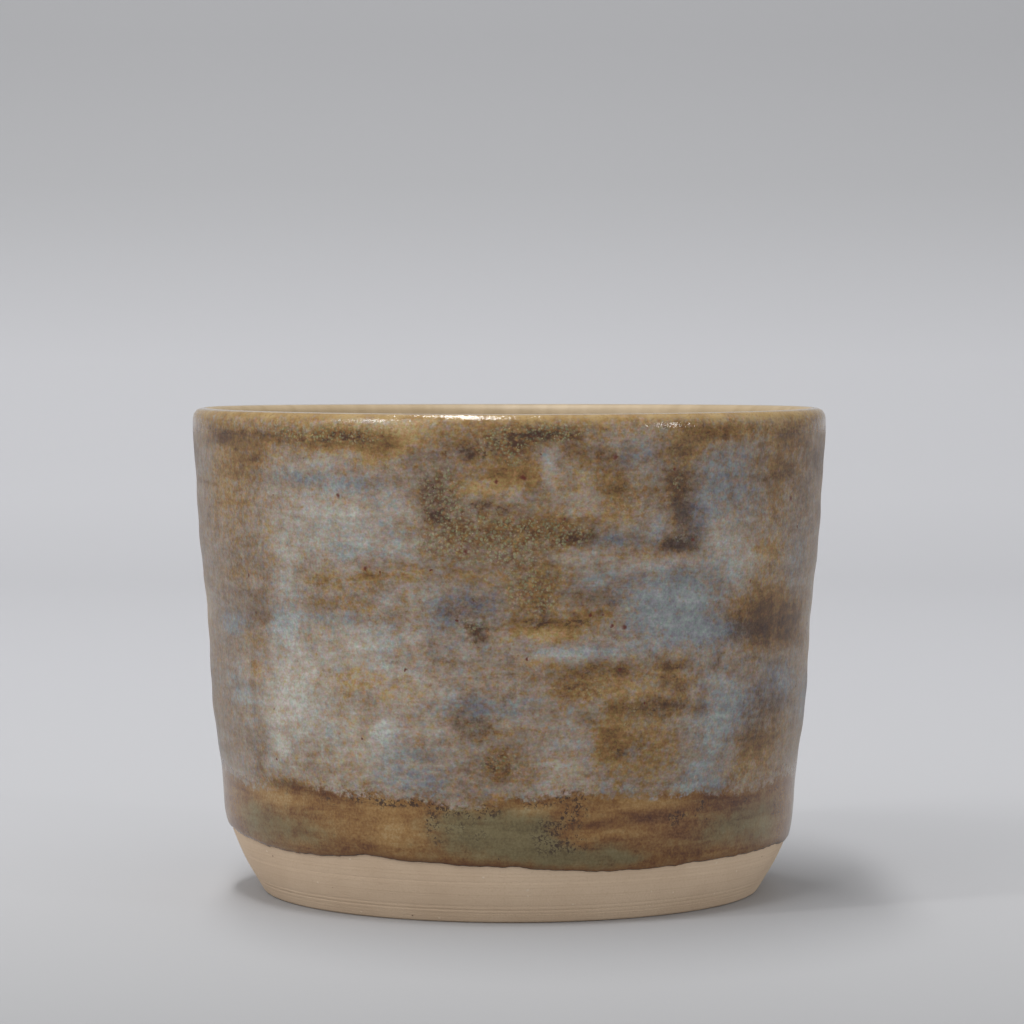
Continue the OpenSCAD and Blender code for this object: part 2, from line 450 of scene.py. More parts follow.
# Places that differ from the plain amber-brown coat: what shows, angle from the front, height, half
# width in degrees, half height, amount
dip_marks = [
    ("olive", -5, 9.2, 9.5, 2.6, 1.1),
    ("olive", 5, 8.9, 4.5, 1.8, 0.9),
    ("olive", 12, 6.9, 9, 1.1, 1.0),
    ("olive", 23, 6.6, 4, 0.8, 0.7),
    ("olive", 47, 8.6, 8, 1.7, 0.7),
    ("olive", 60, 9.0, 7, 2.4, 0.6),
    ("olive", -44, 8.6, 8, 1.5, 0.5),
    ("olive", -58, 8.8, 8, 1.8, 0.6),
    ("dip", -51, 11.7, 9, 0.8, 0.85),
    ("dip", -18.5, 8.9, 3.8, 1.3, 0.6),
    ("dip", -23, 9.0, 3, 1.2, 0.5),
    ("dip", -34, 9.6, 7, 1.2, 0.3),
    ("dip", -31, 11.4, 2, 0.8, -0.35),
    ("dip", -38, 12.5, 3, 0.5, -0.4),
    ("dip", -25, 11.3, 8, 0.9, 0.6),
    ("dip", -47, 13.0, 7, 0.6, -0.7),
    ("dip", -32, 7.3, 8, 0.6, -0.2),
    ("dip", 4, 11.6, 3, 0.6, 0.8),
    ("dip", 2, 10.2, 3, 0.9, -0.2),
    ("dip", 9.5, 10.0, 4, 1.2, -0.25),
    ("dip", 17.0, 10.1, 3, 0.5, -0.6),
    ("dip", 27.5, 10.5, 5, 0.5, -0.65),
    ("dip", 27, 11.8, 8, 0.6, 0.75),
    ("dip", 17, 9.1, 5, 0.5, 0.4),
    ("dip", 27, 9.1, 5, 0.6, 0.25),
    ("dip", 19, 7.9, 5, 0.6, -0.35),
    ("dip", 35, 8.3, 8, 1.4, -0.4),
    ("dip", 37, 6.4, 4, 0.6, -0.4),
    ("dip", 42, 12.0, 3.5, 0.6, -0.7),
    ("dip", 44, 11.0, 8, 0.9, -0.4),
    ("dip", 47, 8.0, 2, 0.5, 0.5),
    ("dip", 53, 9.4, 9, 1.6, -0.35),
    ("dip", 58, 8.6, 5, 0.8, 0.7),
    ("pits", -16, 12.3, 7, 0.6, 1.0),
    ("pits", -14, 10.0, 1.6, 1.8, 1.0),
    ("pits", -6.5, 11.6, 4.5, 0.6, 1.3),
    ("pits", -7, 9.6, 4, 1.5, 0.5),
    ("pits", 5, 12.3, 2.5, 0.5, 1.0),
    ("pits", 11.5, 12.9, 3, 0.6, 1.3),
    ("pits", 12, 11.3, 2.5, 1.0, 0.9),
    ("pits", 8, 9.0, 4, 1.6, 0.8),
    ("pits", 13, 8.0, 2.5, 1.0, 0.6),
    ("pits", -29, 12.5, 2.5, 0.5, 1.2),
    ("pits", -23, 12.2, 3, 0.6, 1.0),
    ("pits", -36, 12.0, 3, 0.5, 0.6),
    ("pits", 34, 10.3, 2.2, 0.7, 1.2),
    ("pits", 39, 11.3, 1.5, 0.7, 0.9),
    ("pits", 50, 11.0, 6, 1.2, 0.4),
    ("olive", 100, 8.5, 16, 2.6, 0.8),
    ("dip", 128, 9.5, 12, 1.6, 0.5),
    ("dip", 152, 10.4, 14, 0.7, -0.6),
    ("pits", 140, 11.8, 10, 0.8, 0.9),
    ("olive", 178, 8.0, 15, 2.8, 0.9),
    ("pits", -165, 11.6, 12, 1.0, 0.9),
    ("dip", -150, 9.4, 12, 1.7, 0.5),
    ("dip", -122, 10.6, 12, 0.8, -0.5),
    ("olive", -98, 8.4, 14, 2.4, 0.7),
    ("pits", -95, 11.6, 10, 1.0, 0.8),
]


def wave_line(waves, lifts):
    """A rule for a glaze line: waves of (millimetres, times round the cup, angle of one crest), and
    single lifts of (millimetres, half width, angle)."""
    def line(angle):
        rise = 0.0
        for size, count, at in waves:
            rise = rise + (angle * count - math.radians(at) * count).math("COSINE") * (size * mm)
        for size, half, at in lifts:
            off = (angle - math.radians(at)) / math.radians(half)
            rise = rise + (off * off * -1).math("EXPONENT") * (size * mm)
        return rise
    return line


def coating_tree(name, line, nibs):
    """Lays a coat on a path spun about the axis: full thickness above, and rolled or brushed out to
    nothing at its lower line."""
    tree, start = new_tree(name, {
        "Path": "NodeSocketGeometry", "Thickness": "NodeSocketFloat", "Line Height": "NodeSocketFloat",
        "Edge Roll": "NodeSocketFloat", "Soft Edge": "NodeSocketFloat", "Feather": "NodeSocketFloat",
        "Relief": "NodeSocketFloat", "Rows Out": "NodeSocketInt", "Rows In": "NodeSocketInt",
        "Segments": "NodeSocketInt", "Material": "NodeSocketMaterial"})
    rows_out = start.also("Rows Out")
    rows_in = start.also("Rows In")
    rows = rows_out + rows_in
    grid, angle, row = wheel_grid(start, rows + 2)
    closing = row.math("GREATER_THAN", rows + 0.5)
    outside = row.math("GREATER_THAN", rows_in - 0.5) * (1 - closing)
    inward = (1 - row / rows_in).math("MAXIMUM", closing)
    along = outside * ((row - rows_in) / rows_out) + (1 - outside) * inward
    ring = start.node("ShaderNodeCombineXYZ", None, {0: angle.math("SINE"), 1: angle.math("COSINE")})
    fray = start.node("ShaderNodeTexNoise", None,
                      {"Vector": ring, "Scale": 9.0, "Detail": 5.0, "Roughness": 0.62})
    edge = start.also("Line Height") + line(angle) + (fray - 0.5) * (nibs * mm)
    length = start.node("GeometryNodeCurveLength", None, {0: start})
    up = (length - edge) * along ** row_crowding
    spot = start.node("GeometryNodeSampleCurve", {"mode": "FACTOR", "use_all_curves": True},
                      {"Curves": start, "Factor": (edge + up) / length}, out="Position")
    point = axes_of(spot)
    run = axes_of(spot.also("Tangent"))
    short = 1 - (up / start.also("Edge Roll")).math("MINIMUM", 1.0)
    rolled = (1 - short * short).math("SQRT")
    brushed_out = up.ease(0.0, start.also("Edge Roll")) * 0.95 + 0.05
    roll = rolled + (brushed_out - rolled) * start.also("Soft Edge")
    thin = 1 - start.also("Feather") * up.ease(length - edge - feather_reach * mm, length - edge)
    brushing = start.node("ShaderNodeCombineXYZ", None, {
        0: angle.math("SINE") * 22, 1: angle.math("COSINE") * 22, 2: point.also(2) * (1 / (9 * mm))})
    laid = start.node("ShaderNodeTexNoise", None, {"Vector": brushing, "Scale": 1.0, "Detail": 3.0})
    skin = start.also("Thickness") * roll * thin + roll * thin * (laid - 0.5) * start.also("Relief")
    off = outside * (skin + coat_sink * mm) - coat_sink * mm
    marked = start.node("GeometryNodeStoreNamedAttribute", {"data_type": "FLOAT", "domain": "POINT"},
                        {"Geometry": grid, "Name": "above_line", "Value": up * (1 / mm)})
    place = on_the_wheel(angle, point + run.also(2) * off, point.also(2) - run * off)
    laid_on = start.node("GeometryNodeSetPosition", None, {"Geometry": marked, "Position": place})
    close_tree(start, laid_on)
    return tree


def lay_marks(piece, marks):
    """Writes one attribute for each kind of mark, with edges that wander as a brush's do."""
    spots = [vertex.co / mm for vertex in piece.data.vertices]
    x, y, z = numpy.array(spots).T
    drift = numpy.array([noise.noise_vector(p * 0.35) + noise.noise_vector(p * 0.9) * 0.8 for p in spots])
    angle = numpy.degrees(numpy.arctan2(x, -y))
    for kind in sorted({row[0] for row in marks}):
        field = numpy.zeros(len(spots))
        for name, at, at_z, half_a, half_z, amount in marks:
            if name == kind:
                loose = min(1.0, half_z / mark_full_drift_h)
                far_z = abs(z + drift[:, 2] * mark_drift_h * loose - at_z) / half_z
                off_a = angle + drift[:, 0] * mark_drift_a * loose - at
                far_a = abs((off_a + 180) % 360 - 180) / half_a
                field += amount * numpy.exp(-0.9 * (far_a ** mark_edge + far_z ** mark_edge))
        piece.data.attributes.new(kind, "FLOAT", "POINT").data.foreach_set("value", field)


def mark(here, name):
    return here.node("ShaderNodeAttribute", {"attribute_name": name}, out="Fac")


def swirled(here, size, reach):
    """Coordinates pushed about by up to this reach, so that dots on them come out ragged."""
    swirl = here.node("ShaderNodeTexNoise", None,
                      {"Vector": here, "Scale": 1 / (size * mm), "Detail": 1.0}, out="Color")
    start = here.node("ShaderNodeVectorMath", {"operation": "SUBTRACT"}, {0: here, 1: [reach * mm / 2] * 3})
    return here.node("ShaderNodeVectorMath", {"operation": "MULTIPLY_ADD"},
                     {0: swirl, 1: [reach * mm] * 3, 2: start})


def ramp(place, stops):
    """A colour that runs through these stops, each a place from 0 to 1 and a colour off a screen."""
    return place.node("ShaderNodeValToRGB", {"stops": [(at, srgb(*colour)) for at, colour in stops]},
                      {"Fac": place})


def iron_glaze(here):
    """Colour of the dipped coat; it also shows through where the brushed coat over it is thin."""
    streak = cloud(here, 0.8, 3, stretch=(9, 9, 1), bend=0.4)
    mottle = cloud(here, 1.2, 4, 0.64)
    fine = cloud(here, 0.24, 3, 0.62)
    thick = (0.48 + mark(here, "dip") * 0.38 + (streak - 0.5) * 0.65 + (mottle - 0.5) * 0.7
             + (fine - 0.5) * 0.75)
    amber = ramp(thick, [(0.0, (58, 27, 13)), (0.25, (88, 53, 24)), (0.5, (117, 82, 42)),
                         (0.75, (140, 107, 62)), (1.0, (156, 131, 92))])
    olive = ramp(thick, [(0.0, (64, 53, 31)), (0.4, (98, 86, 57)), (0.6, (108, 97, 67)),
                         (1.0, (128, 118, 88))])
    greener = mark(here, "olive") + (mottle - 0.5) * 1.2 + (streak - 0.5) * 0.6
    dip = tint(amber, olive, greener.ease(-0.1, 1.0))
    ragged = swirled(here, 0.35, 0.5)
    pits = specks(ragged, 0.5, 0.24, 0.4).math("MAXIMUM", specks(ragged, 0.27, 0.11, 0.4, shift=0.6))
    crazing = here.node("ShaderNodeTexVoronoi", {"feature": "DISTANCE_TO_EDGE"},
                        {"Vector": swirled(here, 0.3, 0.4), "Scale": 1 / (0.5 * mm)})
    crazed = cloud(here, 0.6, 2, shift=0.9).ease(0.46, 0.6)
    pits = pits.math("MAXIMUM", (1 - crazing.ease(0.03, 0.13)) * crazed)
    pits = pits * (mark(here, "pits") + (mottle - 0.5) * 1.8).ease(0.15, 0.7)
    return tint(dip, srgb(44, 27, 20), (pits * 0.85).math("MAXIMUM", specks(here, 1.3, 0.14, 0.25) * 0.7))


def lip_inside(here):
    """1 on the half of the lip that faces inwards, 0 elsewhere."""
    axes = axes_of(here)
    outward = from_axis(axes).ease((lip_c_r - 0.3) * mm, (lip_c_r + 0.2) * mm)
    return axes.also(2).ease(47.5 * mm, 48.5 * mm) * (1 - outward)


def lip_break(here, coat):
    """Both coats run thin over the lip, and the clay shows amber through them on top. A pale grey line along
    the crest is a painted reflection, and the pale tan on the inner half is painted light.
    """
    axes = axes_of(here)
    flat = here.node("ShaderNodeCombineXYZ", None, {0: axes, 1: axes.also(1)})
    way = here.node("ShaderNodeVectorMath", {"operation": "NORMALIZE"}, {0: flat})
    round_lip = here.node("ShaderNodeVectorMath", {"operation": "SCALE"}, {0: way, "Scale": lip_c_r * mm})
    along = cloud(round_lip, 1.8, 2, 0.5)
    amber = tint(srgb(130, 103, 58), srgb(147, 123, 79), along.ease(0.35, 0.65))
    amber = tint(amber, srgb(92, 66, 36), cloud(here, 0.32, 3, 0.65).ease(0.5, 0.72) * 0.55)
    wander = (along - 0.5) * (1.5 * mm) + (cloud(here, 0.5, 3, 0.6) - 0.5) * (1.4 * mm)
    coat = tint(coat, amber, (axes.also(2) + wander).ease(49.0 * mm, 49.9 * mm) * 0.85)
    # A pale grey line along the top of the lip: a painted reflection of the bright backdrop at the crest,
    # not a colour of the glaze.
    outward = from_axis(axes).ease((lip_c_r + 0.5) * mm, (lip_c_r + 0.85) * mm)
    crest = axes.also(2).ease(48.5 * mm, 49.2 * mm) * (1 - outward)
    coat = tint(coat, srgb(158, 152, 146), crest * 0.7)
    # The inner half of the lip is painted pale tan: painted light that brightens the shaded side just inside
    # the rim.
    pale = tint(srgb(143, 124, 94), srgb(153, 134, 105), along.ease(0.3, 0.7))
    return tint(coat, pale, lip_inside(here))


base_finish, shader, here = new_finish("olive_iron_glaze")
line = mark(here, "above_line")
mottle = cloud(here, 1.3, 3)
dip = lip_break(here, iron_glaze(here))
dip = tint(dip, srgb(94, 56, 26), (1 - line.ease(0.1, 0.9)) * 0.55)
dip = tint(dip, srgb(50, 24, 13), (1 - line.ease(0.05, 0.28)) * 0.9)
rough = mottle * 0.16 + 0.14 + lip_inside(here) * 0.3
set_finish(shader, dip, rough, mottle * 0.7 + cloud(here, 0.4) * 0.3, 0.05)

dip_path = [(outer_r(z), z) for z in steps(dip_start, lip_z, 0.25)]
dip_path += lip_arc(lip_r, 0, 180, 5)[1:]
dip_tree = coating_tree("dipped_coat", wave_line(dip_waves, dip_lifts), dip_nibs)
base_glaze = shaped_piece("base_glaze_coat", dip_path, dip_tree, {
    "Thickness": base_t * mm, "Line Height": (dip_h - dip_start) * mm, "Edge Roll": dip_roll * mm,
    "Soft Edge": 0.0, "Rows Out": 110, "Rows In": 24, "Segments": 520, "Material": base_finish})
lay_marks(base_glaze, dip_marks)
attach(base_glaze, "root")
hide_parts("base_glaze")

# The brushed glaze: a milky rutile glaze put on over the base with a wide brush, in upright and level
# strokes. It fires lavender to pale blue where it lies thick, tan where it is thinner, and lets the
# brown base and its olive crystals through where the brush ran dry.
brush_h = 12.0
brush_start = 10.6
brush_waves = [(0.36, 7, 14), (0.2, 13, 10)]
brush_lifts = [(-0.6, 11, 64), (-0.3, 6, -9)]
brush_nibs = 1.2
brush_out = 8.0
brush_relief = 0.1
feather_a = 85
# What the brush left: kind, angle from the front, height, half width in degrees, half height, amount
brush_marks = [
    ("laid", -56, 47.6, 10, 0.8, -0.22),
    ("laid", -61, 47.5, 6, 0.9, -0.4),
    ("laid", -29, 47.6, 8, 1.0, -0.48),
    ("laid", -27, 48.9, 12, 0.6, 0.35),
    ("laid", -44, 47.8, 6, 0.8, -0.22),
    ("laid", -17.5, 48.4, 3, 0.8, 0.35),
    ("laid", -20.5, 47.0, 2, 1.2, -0.35),
    ("laid", -9.5, 46.6, 4.5, 1.3, -0.35),
    ("laid", -6.3, 46.0, 1.6, 0.6, -0.5),
    ("laid", 1, 46.8, 4.5, 1.6, -0.35),
    ("laid", 6, 48.0, 6, 0.7, -0.6),
    ("laid", 29.5, 46.6, 4, 1.2, -0.35),
    ("laid", 38, 48.1, 5, 0.6, -0.4),
    ("laid", 58.5, 47.8, 5, 0.6, -0.45),
    ("laid", 58, 45.0, 10, 3.5, -0.3),
    ("laid", 8, 45.9, 1.2, 1.1, 0.5),
    ("laid", 7.3, 44.6, 1.0, 1.0, 0.3),
    ("laid", 22.5, 47.6, 4, 1.0, 0.15),
    ("laid", 15, 45.8, 7, 1.3, -0.35),
    ("laid", -52, 46.0, 5.5, 1.4, -0.25),
    ("laid", -58, 43.5, 7, 3.0, -0.12),
    ("laid", -36, 45.2, 10, 1.2, 0.22),
    ("laid", -34, 39.5, 11, 3.8, 0.47),
    ("laid", -27, 38.4, 5, 2.0, 0.2),
    ("laid", -19, 40.0, 3.5, 3.0, 0.3),
    ("laid", -31, 43.4, 10, 0.7, -0.12),
    ("laid", -12.5, 42.3, 3, 2.2, -0.35),
    ("laid", -13, 40.0, 1.8, 0.6, -0.5),
    ("laid", -5, 42.9, 4, 0.9, 0.18),
    ("laid", 1, 42.5, 1.3, 0.7, 0.3),
    ("laid", -2.5, 41.2, 6.5, 0.4, -0.4),
    ("laid", 1, 44.3, 4.5, 1.0, -0.25),
    ("laid", 11, 43.3, 5, 1.6, 0.22),
    ("laid", 19.5, 42.8, 3.5, 1.6, -0.3),
    ("laid", 7, 38.8, 7, 1.5, -0.2),
    ("laid", 11.5, 38.0, 3, 0.6, -0.55),
    ("laid", 18, 37.8, 4.5, 0.5, -0.35),
    ("laid", -5, 38.5, 10, 2.6, -0.28),
    ("laid", 30.4, 42.6, 3.8, 2.8, -0.6),
    ("laid", 32.2, 39.4, 3.2, 1.8, -0.52),
    ("laid", 30.2, 37.2, 3.8, 0.6, -0.8),
    ("laid", 26.5, 39.0, 1.8, 1.0, 0.3),
    ("laid", 42, 44.0, 8, 3.4, -0.06),
    ("laid", 39, 37.5, 2.5, 2.6, 0.3),
    ("laid", 44.5, 35.5, 4, 3.0, 0.45),
    ("laid", 27, 35.6, 8, 0.9, 0.2),
    ("laid", 54, 43.0, 2, 4.0, -0.15),
    ("laid", 66, 39.5, 6, 4.0, -0.15),
    ("laid", -53, 30.3, 5, 2.0, -0.35),
    ("laid", -59, 32.0, 8, 0.6, -0.2),
    ("laid", -43, 34.0, 3.4, 4.0, 0.35),
    ("laid", -44, 28.8, 3.5, 1.6, 0.3),
    ("laid", -30, 30.9, 8, 1.2, -0.12),
    ("laid", -29, 27.0, 10, 4.0, 0.32),
    ("laid", -24, 34.0, 1.6, 1.0, -0.3),
    ("laid", -18, 31.0, 3.5, 2.4, 0.25),
    ("laid", -22, 28.2, 4, 1.2, 0.2),
    ("laid", -7, 31.6, 5, 1.6, -0.4),
    ("laid", -12, 30.0, 2.5, 2.5, -0.12),
    ("laid", -5.8, 28.6, 1.8, 0.8, -0.65),
    ("laid", -9, 33.8, 5, 0.7, 0.12),
    ("laid", 5, 32.5, 4.5, 2.6, -0.22),
    ("laid", 6, 31.3, 0.9, 1.2, -0.35),
    ("laid", 7, 29.8, 6.5, 0.4, -0.4),
    ("laid", 6, 28.8, 6, 0.7, 0.12),
    ("laid", 16, 30.6, 5, 0.6, -0.28),
    ("laid", 16, 32.3, 5, 0.8, -0.5),
    ("laid", 16, 34.8, 5, 1.2, 0.12),
    ("laid", 13, 27.0, 9, 0.7, 0.3),
    ("laid", 5.5, 26.2, 4, 0.6, 0.2),
    ("laid", 30, 32.0, 10, 3.2, 0.22),
    ("laid", 31.5, 34.5, 1.8, 0.8, -0.2),
    ("laid", 35, 28.6, 5, 1.4, 0.15),
    ("laid", 53, 30.8, 11, 2.8, -0.38),
    ("laid", 45.5, 28.6, 4.5, 0.9, -0.3),
    ("laid", 58, 28.4, 12, 2.0, -0.55),
    ("laid", 67, 29.0, 6, 4.0, -0.2),
    ("laid", -46, 21.0, 6.5, 5.2, 0.6),
    ("laid", -42, 26.0, 5, 2.0, 0.35),
    ("laid", -47, 16.5, 3, 1.6, 0.4),
    ("laid", -38, 21.5, 5, 3.0, 0.36),
    ("laid", -59, 22.5, 5, 2.5, 0.25),
    ("laid", -55, 22.9, 1.8, 0.7, -0.35),
    ("laid", -55.5, 15.5, 2.5, 1.6, -0.25),
    ("laid", -24, 26.0, 5, 1.2, 0.25),
    ("laid", -22.5, 19.8, 2.5, 1.2, 0.3),
    ("laid", -29, 17.5, 9, 3.6, 0.45),
    ("laid", -47, 13.0, 6, 0.6, -0.6),
    ("laid", -34, 13.9, 2, 0.6, 0.25),
    ("laid", -16, 24.5, 5, 1.6, 0.25),
    ("laid", -7, 21.5, 3.5, 1.6, -0.35),
    ("laid", -6, 19.6, 3, 0.9, -0.35),
    ("laid", -17, 16.9, 3.5, 0.6, -0.25),
    ("laid", -17, 19.5, 5, 4.0, 0.22),
    ("laid", -2, 15.8, 4, 1.5, -0.3),
    ("laid", -8, 14.5, 2.5, 1.2, -0.1),
    ("laid", 10.5, 16.0, 4.5, 2.4, 0.35),
    ("laid", 8.5, 19.5, 5, 1.0, 0.1),
    ("laid", 15, 25.0, 6, 0.7, -0.5),
    ("laid", 11.5, 23.4, 4, 0.7, -0.3),
    ("laid", 20, 25.0, 1.4, 0.7, -0.3),
    ("laid", 18.5, 19.0, 2.5, 2.0, -0.25),
    ("laid", 20.8, 17.0, 1.5, 0.6, -0.5),
    ("laid", 31.5, 25.4, 4, 0.6, -0.5),
    ("laid", 31, 23.6, 4, 0.7, -0.45),
    ("laid", 27, 21.4, 6, 0.7, -0.55),
    ("laid", 24, 18.5, 7, 5.0, -0.1),
    ("laid", 36.8, 21.3, 1.6, 1.0, -0.35),
    ("laid", 41.3, 25.6, 1.0, 0.9, -0.5),
    ("laid", 43, 20.0, 4.5, 4.0, 0.28),
    ("laid", 37, 14.0, 3, 1.6, 0.22),
    ("laid", 44, 23.4, 5, 0.9, 0.15),
    ("laid", 55, 20.0, 9, 5.0, -0.42),
    ("laid", 63, 23.2, 5, 1.5, 0.15),
    ("laid", 63, 20.5, 5, 0.7, -0.2),
    ("laid", 42.3, 12.6, 3, 0.6, -0.4),
    ("blue", 7.8, 45.6, 1.6, 1.7, 0.7),
    ("blue", 22, 46.2, 4.5, 2.0, 0.6),
    ("blue", 40, 43.5, 8, 3.4, 0.75),
    ("blue", 26.5, 39.0, 2.2, 1.2, 0.7),
    ("blue", 34, 40.2, 2.8, 2.4, 0.8),
    ("blue", 18, 37.8, 5, 0.6, 0.8),
    ("blue", 31, 31.5, 11, 3.8, 1.2),
    ("blue", 36, 28.5, 6, 1.5, 0.9),
    ("blue", 44, 34.5, 4, 2.5, 0.35),
    ("blue", 45.5, 28.6, 4.5, 1.0, 0.9),
    ("blue", 63, 34.5, 5, 3.4, 0.5),
    ("blue", 13, 27.0, 9, 0.8, 0.75),
    ("blue", 16, 34.5, 4, 1.2, 0.35),
    ("blue", 42, 20.5, 6, 4.5, 0.85),
    ("blue", 37.5, 14.0, 5, 1.8, 0.8),
    ("blue", 44, 13.2, 3, 0.7, 0.7),
    ("blue", 50, 20.8, 4.5, 2.2, 0.6),
    ("blue", 61, 22.8, 7, 2.4, 0.9),
    ("blue", -4, 21.4, 3.5, 1.2, 0.8),
    ("blue", -10, 22.5, 5, 1.5, 0.5),
    ("blue", -12, 30.5, 3, 2.8, 0.7),
    ("blue", -5, 31.6, 5, 1.5, 0.7),
    ("blue", -16, 14.2, 5, 1.6, 0.75),
    ("blue", -17, 17.0, 4, 0.7, 0.6),
    ("blue", -3.5, 13.6, 1.2, 0.7, 0.7),
    ("blue", 17.5, 13.6, 1.2, 1.4, 0.8),
    ("blue", -38, 43.7, 7, 0.7, 0.8),
    ("blue", -28, 43.0, 5, 0.7, 0.8),
    ("blue", -30, 38.2, 9, 2.2, 0.3),
    ("blue", -28.5, 36.6, 4, 0.7, 0.4),
    ("blue", -20, 39.5, 3.5, 3.0, 0.3),
    ("blue", -44.5, 29.2, 3.5, 1.5, 0.8),
    ("blue", -42, 32.5, 2.5, 1.5, 0.4),
    ("blue", -33, 29.9, 8, 0.6, 0.6),
    ("blue", -22.5, 32.0, 2.5, 1.0, 0.5),
    ("blue", -22.5, 28.0, 3, 1.2, 0.5),
    ("blue", -62, 28.7, 6, 1.2, 0.9),
    ("blue", -34, 18.5, 1.6, 1.0, 0.7),
    ("blue", -22.5, 19.5, 2.5, 1.5, 0.6),
    ("blue", -23.5, 15.5, 3, 1.8, 0.6),
    ("blue", -38, 21.5, 3, 1.5, 0.35),
    ("blue", -60, 22.5, 5, 2.0, 0.6),
    ("blue", -24, 26.0, 4, 1.0, 0.4),
    ("blue", 23, 17.3, 1.2, 0.8, 0.9),
    ("blue", 23, 13.6, 1.4, 0.7, 0.9),
    ("blue", 2, 21.5, 2.5, 1.0, 0.5),
    ("blue", 12, 18.0, 4, 0.6, 0.4),
    ("ochre", -28, 47.4, 11, 1.2, 1.3),
    ("ochre", -24, 45.8, 4, 1.0, 0.7),
    ("ochre", -52, 45.8, 8, 1.5, 0.7),
    ("ochre", -60, 42.5, 8, 4.5, 0.8),
    ("ochre", -47, 38.5, 1.8, 1.2, 0.6),
    ("ochre", -46, 35.6, 1.6, 0.8, 0.6),
    ("ochre", -19.5, 47.0, 2.5, 1.4, 0.7),
    ("ochre", -17.5, 48.5, 4, 0.8, 0.6),
    ("ochre", 1, 46.0, 7, 2.8, 0.8),
    ("ochre", -5, 42.9, 5, 0.9, 0.9),
    ("ochre", 1.5, 44.3, 4.5, 1.0, 0.9),
    ("ochre", 12, 43.5, 5, 1.5, 0.35),
    ("ochre", 14, 45.8, 5, 1.2, 0.45),
    ("ochre", 19.8, 42.8, 4, 2.0, 0.9),
    ("ochre", 18, 40.3, 4, 1.0, 0.5),
    ("ochre", 7, 39.0, 8, 1.8, 0.8),
    ("ochre", -8, 38.5, 8, 2.8, 0.5),
    ("ochre", 30.5, 42.8, 3.5, 3.4, 1.0),
    ("ochre", 31, 47.0, 5, 1.2, 0.8),
    ("ochre", 39, 48.0, 6, 0.7, 0.8),
    ("ochre", 57, 45.5, 8, 3.5, 0.6),
    ("ochre", 54, 42.0, 2.5, 4.0, 0.5),
    ("ochre", 28, 36.3, 8, 0.7, 0.5),
    ("ochre", 53, 36.2, 6, 1.6, 0.8),
    ("ochre", 53, 31.3, 10, 2.6, 1.15),
    ("ochre", 60, 28.6, 12, 2.4, 1.0),
    ("ochre", -17.5, 34.5, 4, 0.8, 0.8),
    ("ochre", -6, 34.2, 5, 0.7, 0.5),
    ("ochre", -33, 34.0, 7, 1.2, 0.55),
    ("ochre", -24.5, 33.8, 2.5, 1.2, 0.7),
    ("ochre", -29, 31.2, 9, 0.8, 0.5),
    ("ochre", -54, 27.2, 4, 0.8, 0.6),
    ("ochre", -58, 34.0, 7, 0.7, 0.5),
    ("ochre", 4.5, 33.0, 5, 2.8, 0.85),
    ("ochre", 7, 28.9, 7, 0.9, 1.2),
    ("ochre", 15, 30.5, 6, 0.9, 0.9),
    ("ochre", 5.5, 26.1, 4, 0.6, 0.7),
    ("ochre", 16, 24.2, 7, 1.6, 0.8),
    ("ochre", 12, 23.2, 4, 0.8, 0.7),
    ("ochre", -1.5, 16.0, 4.5, 1.6, 0.7),
    ("ochre", -2, 13.0, 2, 0.7, 0.8),
    ("ochre", 9.5, 16.2, 3.5, 2.0, 0.3),
    ("ochre", 19, 19.0, 3, 3.0, 0.9),
    ("ochre", 25, 19.0, 8, 5.5, 0.75),
    ("ochre", 31.5, 24.5, 4, 1.6, 0.9),
    ("ochre", 50, 15.4, 4, 2.0, 0.5),
    ("ochre", 57, 16.4, 7, 3.2, 0.85),
    ("ochre", -54.5, 24.0, 2.5, 1.2, 0.7),
    ("ochre", -48, 20.8, 2.5, 0.8, 0.45),
    ("ochre", -46.5, 18.0, 2, 0.8, 0.4),
    ("ochre", -28, 24.0, 4, 1.0, 0.6),
    ("ochre", -22.5, 22.4, 1.5, 0.8, 0.8),
    ("ochre", -17, 23.0, 4, 1.0, 0.5),
    ("ochre", -30, 17.0, 8, 3.0, 0.35),
    ("ochre", -47, 13.0, 8, 0.9, 0.8),
    ("ochre", -32, 24.0, 9, 3.5, 0.3),
    ("crystal", 5, 48.3, 7, 0.9, 1.6),
    ("crystal", -1, 47.2, 5.5, 1.6, 1.1),
    ("crystal", -11.5, 42.5, 4.5, 3.0, 1.0),
    ("crystal", -11, 38.0, 4.5, 2.2, 0.7),
    ("crystal", 0, 39.2, 9, 2.2, 0.9),
    ("crystal", 9, 38.5, 5.5, 1.3, 1.1),
    ("crystal", -3, 36.8, 8, 1.6, 0.6),
    ("crystal", 4.5, 33.0, 5, 3.0, 0.9),
    ("crystal", -5.5, 29.0, 3, 1.4, 0.8),
    ("crystal", -1.5, 16.0, 4.5, 1.8, 0.9),
    ("crystal", -6.5, 20.0, 3, 1.2, 0.5),
    ("crystal", 12, 23.6, 6, 1.2, 0.7),
    ("crystal", 23, 20.5, 5, 2.5, 0.45),
    ("crystal", 30.5, 42.8, 3, 2.5, 0.7),
    ("crystal", 30, 37.6, 3, 0.7, 0.6),
    ("crystal", -40.5, 48.1, 5, 0.8, 0.9),
    ("crystal", -29, 48.0, 9, 1.2, 0.9),
    ("crystal", 22.5, 42.5, 3, 1.6, 0.5),
    ("crystal", 30.5, 47.2, 3, 1.0, 0.5),
    ("burnt", -6.3, 46.2, 3, 1.0, 1.0),
    ("burnt", 0.5, 47.6, 3, 0.8, 0.9),
    ("burnt", 6, 48.0, 5, 0.7, 1.1),
    ("burnt", -13, 40.2, 2.6, 0.8, 1.0),
    ("burnt", -12, 42.5, 3, 2.0, 0.4),
